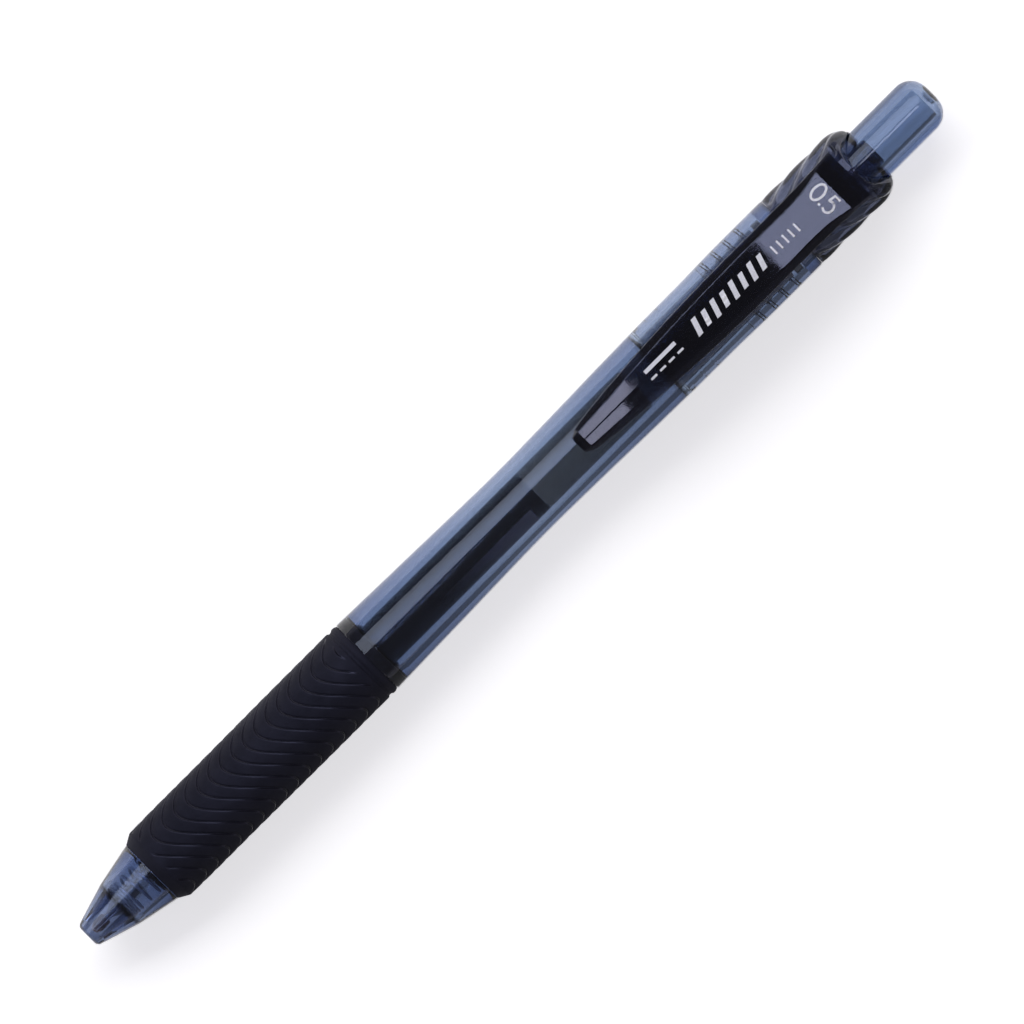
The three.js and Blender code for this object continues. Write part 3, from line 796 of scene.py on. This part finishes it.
def clip_half(station):
    """Half of the clip's section, from its ridge round to the middle of its underside: (across, height)."""
    top = clip_top(station)
    top_half, base_half, under = (
        smooth_line(knots, [station])[0] for knots in (CLIP_TOP_HALF, CLIP_BASE_HALF, CLIP_UNDER)
    )
    hug = max(0, min(1, (station - 120) / 3))
    cheek = under * (1 - hug) + hug * (math.sqrt(5.45**2 - (base_half - 0.15) ** 2) + 0.1)
    cheek += 0.07 * max(0, station - 127)
    side = max(cheek + 0.3, top - 0.7 * (base_half - top_half) - 0.05)
    rise = RIDGE * top_half
    ridge, edge, shoulder = (0, top + rise), (top_half, top), (base_half, side)
    foot, middle = (base_half, cheek), (0, under)
    section = [ridge, (0.16, top + rise - RIDGE * 0.16)]
    section += edge_round(ridge, edge, shoulder, 0.35)
    section += edge_round(edge, shoulder, foot, 0.25)
    section += edge_round(shoulder, foot, (base_half * 0.5, (cheek + under) / 2), 0.06)
    section.append((base_half * 0.5, (cheek + under) / 2 + 0.1 * hug))
    return [*section, middle]


def clip():
    stops = sorted(
        {84.3, 84.34, 84.42, 84.7, 85.1, CLIP_NOSE - 0.03, CLIP_NOSE, CLIP_NOSE + 0.03}
        | {CLIP_ROOT - 0.03, CLIP_ROOT, CLIP_ROOT + 0.03, CLIP_REAR - 0.04, CLIP_REAR}
        | set(steps(85.8, 127.8, 84))
        | set(steps(128.5, 130.6, 4))
    )
    sections = []
    for stop in stops:
        half = clip_half(stop)
        mirrored = [(-across, height) for across, height in reversed(half[1:-1])]
        sections.append([at(stop, across, height) for across, height in half + mirrored])
    return fit(lofted("clip_arm", sections, 50), "clip", "clip", "dark_smoke_plastic")


def clip_tongue():
    """The root tongue, which plugs into the crown."""
    half, top, low = TONGUE_HALF, 5.5, 4.7
    first, last, blunt = TONGUE_FROM, TONGUE_TO, 0.2
    sections = []
    for stop, under in ((first, low + 0.1), (first + blunt, low), (last - blunt, low), (last, low + 0.1)):
        section = ((-half, under), (half, under), (half, top), (-half, top))
        sections.append([at(stop, across, height) for across, height in section])
    piece = lofted("clip_tongue", sections)
    piece.data.materials.append(MATERIALS["dark_smoke_plastic"])
    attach(piece, "clip")


# ---- Printed marks on the clip ----


def on_clip(station, across):
    """A point just above the clip's top."""
    half = smooth_line(CLIP_TOP_HALF, [station])[0]
    height = clip_top(station) + RIDGE * max(0, half - abs(across))
    return at(station, across, height + 0.012)


def stroke(path, width):
    """Quads of a flat band of a given width along a path of (station, across) points."""
    left, right = [], []
    for i, (station, across) in enumerate(path):
        before, after = Vector(path[max(i - 1, 0)]), Vector(path[min(i + 1, len(path) - 1)])
        heading = (after - before).normalized() * width / 2
        left.append((station - heading.y, across + heading.x))
        right.append((station + heading.y, across - heading.x))
    return [(left[i], left[i + 1], right[i + 1], right[i]) for i in range(len(path) - 1)]


def print_marks(name, quads):
    """Thin closed plates of ink on the clip, one for each quad, cut fine enough to follow its arch."""
    points, faces = [], []
    thickness = Vector((0, 0, 0.012 * MM))
    for quad in quads:
        corners = [on_clip(*corner) for corner in quad]
        first = len(points)
        points += corners + [corner - thickness for corner in corners]
        faces += [tuple(first + k for k in range(4)), tuple(first + 7 - k for k in range(4))]
        for k in range(4):
            following = (k + 1) % 4
            faces.append((first + k, first + following, first + 4 + following, first + 4 + k))
    piece = solid(name, points, faces)
    piece.data.materials.append(MATERIALS["clip_print"])
    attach(piece, "clip")


def slanted_bar(station, across_low, across_high, width, slant=0.32):
    """Quads of a bar across the pen that leans along it, split where the ridge is."""
    stops = steps(across_low, across_high, 4)
    quads = []
    for low, high in zip(stops, stops[1:]):
        near, far = station - slant * low, station - slant * high
        quads.append(((near, low), (near + width, low), (far + width, high), (far, high)))
    return quads


def size_digits():
    """The line width in figures, 0.5, read across the pen with their tops towards the push button."""
    nought = [
        (126.6 + 1.15 * math.cos(turn), -1.15 + 0.68 * math.sin(turn)) for turn in steps(0, 2 * math.pi, 32)
    ]
    point = [(125.45, -0.08), (125.75, -0.08)]
    bowl = [
        (126.18 + 0.76 * math.sin(turn), 0.98 + 0.62 * math.cos(turn))
        for turn in steps(math.radians(128), math.radians(-138), 20)
    ]
    five = [(127.7, 1.5), (127.7, 0.62), (126.75, 0.5), *bowl]
    return stroke(nought, 0.31) + stroke(point, 0.32) + stroke(five, 0.31)


def marks():
    bars = []
    for i in range(8):
        bars += slanted_bar(104.3 + 1.58 * i, -1.15 + 0.16 * (i % 2), 1.05 - 0.16 * (i % 2), 0.72)
    print_marks("mark_bars", bars)
    dashes = []
    for i in range(4):
        dashes += stroke([(96.2 + 1.5 * i, 0.62), (96.2 + 1.5 * i + 0.95, 0.62)], 0.28)
    dashes += stroke([(96.2, -0.55), (98.7, -0.55), (101.4, -0.55)], 0.5)
    print_marks("mark_dashes", dashes)
    rungs = []
    for i in range(5):
        rungs += stroke([(117.8 + 0.98 * i, -0.62), (117.8 + 0.98 * i, 0.0), (117.8 + 0.98 * i, 0.62)], 0.26)
    print_marks("mark_rungs", rungs)
    print_marks("mark_size", size_digits())


# ---- Push button and cams ----


def push_button():
    bore, rounding = STEM_RADIUS + 0.08, 2.6
    crest = [
        (LENGTH - rounding * (1 - math.sin(turn)), BUTTON_RADIUS - rounding * (1 - math.cos(turn)))
        for turn in steps(0, math.pi / 2, 20)
    ]
    cap = outline(
        (LENGTH - 1.05, 0), (LENGTH - 1.05, 1.1, 0.3), (LENGTH - 1.75, bore, 0.3),
        (BUTTON_FRONT, bore, 0.05), (BUTTON_FRONT, BUTTON_RADIUS, 0.15), *crest, (LENGTH, 0.5, 0.04),
        (LENGTH - 0.14, 0.46, 0.04), (LENGTH - 0.14, 0),
    )
    piece = turned("push_button_cap", cap, 144, button_recess)
    return fit(piece, "push_button", "button", "smoke_plastic", "button_plastic")


def button_recess(station, angle, radius):
    """Squares off the small recess in the button's end."""
    if station > LENGTH - 0.2 and 0 < radius < 0.6:
        octant = (angle + math.pi / 4) % (math.pi / 2) - math.pi / 4
        return station, radius * 0.95 / max(math.cos(octant), 0.72)
    return station, radius


def tooth_height(angle):
    turn = angle / (2 * math.pi) * 2 * SLOTS
    return 1 - 2 * abs(turn - round(turn))


def in_fin(angle, half_width):
    """True within one of the fins that run in the cam sleeve's slots."""
    pitch = 2 * math.pi / SLOTS
    return abs((angle + pitch / 2) % pitch - pitch / 2) < half_width


def plunger():
    fins_from, fins_to = PLUNGER_FRONT + 0.8, 123.45
    body = outline(
        (PLUNGER_FRONT, 1.3), (PLUNGER_FRONT, STEM_RADIUS), (fins_from, STEM_RADIUS),
        (fins_from + 0.01, 1.89), (fins_to, 1.89), (fins_to + 0.01, STEM_RADIUS),
        (STEM_END, STEM_RADIUS, 0.5), (STEM_END, 1.2, 0.2), (STEM_END - 0.9, 1.1), (STEM_END - 0.9, 0),
    )

    def shape(station, angle, radius):
        if station < PLUNGER_FRONT + 0.04:
            return station + TOOTH * tooth_height(angle), radius
        return station, 2.85 if abs(radius - 1.89) < 0.001 and in_fin(angle, 0.29) else radius

    bore = [(124, 0), (124, 1.3)]
    piece = turned("plunger_stem", [*bore, *body], 128, shape)
    return fit(piece, "plunger", "button", "smoke_plastic")


def rotor():
    fins_from, fins_to = 117.4, ROTOR_END - 2.9
    face = PLUNGER_FRONT - 0.15  # far enough from the plunger's teeth for the rotor to turn
    body = outline(
        (ROTOR_FRONT, 0), (ROTOR_FRONT, 2.1, 0.2), (116.5, 1.95), (fins_from - 0.01, 1.95),
        (fins_from, 1.94), (fins_to, 1.94), (fins_to + 0.01, 1.95), (face - 0.05, 1.95), (face, 1.93),
        (face, 1.15), (ROTOR_END, 1.15, 0.15), (ROTOR_END, 0),
    )

    def shape(station, angle, radius):
        if abs(station - face) < 0.04:
            return station + TOOTH * tooth_height(angle), radius
        return station, 2.85 if abs(radius - 1.94) < 0.001 and in_fin(angle, 0.25) else radius

    return fit(turned("rotor_cam", body, 128, shape), "rotor", "rotor", "black_plastic")


def cam_sleeve():
    rib, slot = 2.12, 3.0
    body = outline(
        (SLEEVE_FRONT, 2.2), (SLEEVE_FRONT, 3.45, 0.1), (117.9, 3.45), (117.9, 4.1, 0.1),
        (119.0, 4.1, 0.1), (119.0, 3.45), (SLEEVE_END, 3.45, 0.1), (SLEEVE_END, STEM_RADIUS + 0.08, 0.1),
        (123.55, STEM_RADIUS + 0.08), (123.55, 2.2),
    )

    def shape(station, angle, radius):
        if abs(radius - 2.2) > 0.01:
            return station, radius
        if in_fin(angle, math.pi / (2 * SLOTS)):
            return station, slot
        lead = TOOTH * tooth_height(angle) if station < SLEEVE_FRONT + 0.05 else 0
        return station + lead, rib

    return fit(turned("cam_sleeve_guide", body, 128, shape), "cam_sleeve", "upper_barrel", "black_plastic")


# ---- Refill ----


def coil(front, rear, radius, turns, closed_turns, closed_pitch, steps_per_turn=28):
    """Centre line of a coil spring with close turns at both ends."""
    open_turns = turns - 2 * closed_turns
    open_pitch = (rear - front - 2 * closed_turns * closed_pitch) / open_turns
    line = []
    for turn in steps(0, turns, round(turns * steps_per_turn)):
        opened = max(0, min(open_turns, turn - closed_turns))
        station = front + (turn - opened) * closed_pitch + opened * open_pitch
        line.append(place(station, turn * 2 * math.pi, radius))
    return line


def return_spring():
    radius = 0.19
    line = coil(SPRING_FRONT + 0.05 + radius, SPRING_END - 0.05 - radius, 2.28, 18.5, 3, 0.4)
    piece = fit(wire("return_spring_coil", line, radius), "return_spring", "lower_barrel", "spring_steel")
    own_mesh(piece)


def writing_point():
    body = outline(
        (POINT_FRONT, 0.2), (POINT_FRONT, 0.3, 0.05), (2.0, 0.42, 0.1), (3.9, 0.45, 0.2),
        (4.9, 1.0, 0.15), (6.2, 1.05, 0.05), (6.2, 0.78), (POINT_END, 0.78, 0.05), (POINT_END, 0.5),
        (4.4, 0.5), (3.9, 0.22), (2.25, 0.22), (2.15, 0.3), (1.78, 0.3),
    )
    return fit(turned("writing_point_metal", body, 48), "writing_point", "refill", "nickel_silver")


def tip_seal():
    radius = 0.8
    nose = [
        (SEAL_FRONT + radius * (1 - math.cos(turn)), radius * math.sin(turn))
        for turn in steps(0, math.pi / 2, 12)
    ]
    body = [
        *nose,
        *outline((2.9, radius), (SEAL_END, 0.74, 0.25), (SEAL_END, 0.5, 0.05), (1.55, 0.5), (1.47, 0))[1:],
    ]
    return fit(turned("tip_seal_pellet", body, 64, None, 60), "tip_seal", "refill", "amber_seal")


def point_holder():
    body = outline(
        (HOLDER_FRONT, 0.85), (HOLDER_FRONT, 1.12, 0.08), (9.0, 1.2), (11.9, 1.25, 0.1),
        (13.0, 1.85, 0.3), (27.0, 1.85), (27.0, 2.9, 0.15), (28.0, 2.9, 0.15), (28.0, 2.38),
        (HOLDER_END, 2.38, 0.1), (HOLDER_END, 1.5, 0.1), (18.4, 1.5), (18.4, 0.7), (17.8, 0.7),
        (17.3, 1.35), (13.4, 1.35, 0.1), (12.8, 0.6), (9.3, 0.6), (9.3, 0.85),
    )
    return fit(turned("point_holder_body", body, 72), "point_holder", "refill", "natural_plastic")


def ball(name, node, body, station, radius):
    """A polished ball, as a subdivided icosphere."""
    mesh = bpy.data.meshes.new(name)
    made = bmesh.new()
    bmesh.ops.create_icosphere(made, subdivisions=4, radius=radius * MM)
    bmesh.ops.translate(made, verts=made.verts, vec=at(station, 0, 0))
    made.to_mesh(mesh)
    made.free()
    mesh.polygons.foreach_set("use_smooth", [True] * len(mesh.polygons))
    return fit(placed(name, mesh), node, body, "spring_steel")


def reservoir_tube():
    body = outline(
        (TUBE_FRONT, TUBE_BORE), (TUBE_FRONT, TUBE_RADIUS, 0.1), (TUBE_END, TUBE_RADIUS, 0.1),
        (TUBE_END, TUBE_BORE),
    )
    return fit(turned("reservoir_tube_wall", body), "reservoir_tube", "refill", "natural_plastic")


def tube_filling(name, node, slot, front, rear, front_bulge, rear_bulge):
    """What fills the tube between two stations. It reaches just into the wall, because it wets it."""
    radius = TUBE_BORE + 0.03
    turns = steps(0, math.pi / 2, 8)
    front_face = [(front - front_bulge * math.cos(turn), radius * math.sin(turn)) for turn in turns]
    rear_face = [(rear + rear_bulge * math.sin(turn), radius * math.cos(turn)) for turn in turns]
    return fit(turned(name, [*front_face, *rear_face], 96, None, 60), node, "refill", slot)


def tail_plug():
    body = outline(
        (PLUG_FRONT, 0.5), (PLUG_FRONT, 2.3, 0.1), (TUBE_END + 0.1, 2.36), (TUBE_END + 0.1, 2.95, 0.08),
        (PLUG_END, 2.95, 0.15), (PLUG_END, 0.5, 0.1),
    )
    return fit(turned("tail_plug_body", body, 72), "tail_plug", "refill", "black_plastic")


# ---- Assembly ----

front_barrel()
grip_sleeve()
rear_barrel()
crown()
clip()
clip_tongue()
marks()
push_button()
plunger()
rotor()
cam_sleeve()
return_spring()
writing_point()
tip_seal()
point_holder()
ball("writing_ball_ground", "writing_ball", "refill", 1.87, 0.25)
ball("valve_ball_ground", "valve_ball", "valve_ball", 15.2, 1.0)
ball_spring = wire("ball_spring_coil", coil(4.78, 8.82, 0.3, 7, 1, 0.2), 0.07, 8)
fit(ball_spring, "ball_spring", "refill", "spring_steel")
reservoir_tube()
tube_filling("ink_column_gel", "ink_column", "black_ink", INK_FRONT, INK_END, 0, 0)
tube_filling("ink_follower_gel", "ink_follower", "clear_grease", FOLLOWER_FRONT, FOLLOWER_END, 0, 0.6)
tail_plug()

# ---- Floor, light and camera ----


def card(name, across, reach, height, color, glow, strength):
    """A flat matt card from -reach to reach along X, which glows a little."""
    low, high = across
    corners = [(-reach, low, height), (reach, low, height), (reach, high, height), (-reach, high, height)]
    mesh = bpy.data.meshes.new(name)
    mesh.from_pydata(corners, [], [(0, 1, 2, 3)])
    paper = Shader(f"{name}_paper", color, roughness=0.9, specular_ior_level=0.0)
    paper.surface.inputs["Emission Color"].default_value = (*glow, 1)
    paper.surface.inputs["Emission Strength"].default_value = strength
    mesh.materials.append(paper.material)
    made = placed(name, mesh)
    return made, paper


def floor():
    """A wide pale table, whose glow keeps the shadows on it light."""
    reach = 6.0
    card("floor", (-reach, reach), reach, 0, (0.86, 0.855, 0.86), (1, 0.992, 0.996), 0.64)


def dark_card():
    """A dark card along the pen's shaded side, which only its clear plastic and its gloss show."""
    near, far, reach, lift = -0.0085, -0.4, 0.5, 0.0001
    made, paper = card("dark_card", (far, near), reach, lift, (0.05, 0.05, 0.055), (1, 1, 1), 0.2)
    paper.tinted(paper.noise(300), (0.04, 0.04, 0.045), (0.06, 0.06, 0.066))
    made.visible_camera = made.visible_diffuse = made.visible_shadow = False


def softbox(name, tilt, size, radiance, color=(1, 1, 1)):
    """A rectangular lamp half a metre off, tilted from overhead towards +X and +Y by tilt, in degrees."""
    lamp = bpy.data.lights.new(name, "AREA")
    lamp.shape = "RECTANGLE"
    lamp.size, lamp.size_y = size
    lamp.energy = radiance * math.pi * size[0] * size[1]
    lamp.color = color
    box = placed(name, lamp)
    direction = Matrix.Rotation(math.radians(-tilt[1]), 3, "X") @ Vector((0, 0, 1))
    direction = Matrix.Rotation(math.radians(tilt[0]), 3, "Y") @ direction
    box.location = Vector((0, 0, AXIS_Z)) + direction * 0.5
    box.rotation_mode = "QUATERNION"
    box.rotation_quaternion = direction.to_track_quat("Z", "Y")
    box.visible_camera = False
    return box


def lamps():
    """Softboxes for the pen's highlights, and a broad one that casts its soft shadow on the table."""
    key = softbox("key", (0, 27.5), (1.0, 0.345), 2.7, (0.7, 0.78, 1.0))
    nose_color = (0.74, 0.76, 0.94)
    left = softbox("nose_side_left", (-9.7, 0), (0.02, 0.1185), 6.2, nose_color)
    right = softbox("nose_side_right", (-10.2, 0), (0.02, 0.11), 6.2, nose_color)
    left.location.y, right.location.y = 0.021, -0.021  # apart, to show the clip's ridge
    button_side = softbox("button_side", (14.7, 0), (0.06, 0.115), 5.6, (0.68, 0.74, 1.0))
    for box in (key, left, right, button_side):
        box.visible_diffuse = False
    fill = softbox("fill", (12, 43), (0.9, 0.28), 2.7)
    fill.visible_glossy = fill.visible_transmission = False


def surroundings():
    """A dark studio whose walls are pale near the horizon."""
    world = bpy.data.worlds.new("studio")
    world.use_nodes = True
    tree = world.node_tree
    where = tree.nodes.new("ShaderNodeTexCoord")
    split = tree.nodes.new("ShaderNodeSeparateXYZ")
    height = tree.nodes.new("ShaderNodeMapRange")
    height.interpolation_type = "SMOOTHSTEP"
    for socket, value in (("From Min", 0.08), ("From Max", 0.34), ("To Min", 0.6), ("To Max", 0.17)):
        height.inputs[socket].default_value = value
    background = tree.nodes["Background"]
    background.inputs["Color"].default_value = (0.93, 0.92, 1.12, 1)
    tree.links.new(where.outputs["Generated"], split.inputs["Vector"])
    tree.links.new(split.outputs["Z"], height.inputs["Value"])
    tree.links.new(height.outputs["Result"], background.inputs["Strength"])
    bpy.context.scene.world = world


def camera():
    """Looks straight down, through a long lens, with the pen from lower left to upper right."""
    view_width = 0.12445
    lens = bpy.data.cameras.new("camera")
    lens.lens, lens.sensor_width = 1000, 36
    eye = placed("camera", lens)
    distance = view_width * lens.lens / lens.sensor_width
    lens.clip_start, lens.clip_end = 0.1, 20
    eye.location = (0.0004, 0, AXIS_Z + distance)
    eye.rotation_euler = (0, 0, math.radians(-45))
    bpy.context.scene.camera = eye


floor()
dark_card()
lamps()
surroundings()
camera()
bpy.context.scene.view_settings.view_transform = "Standard"
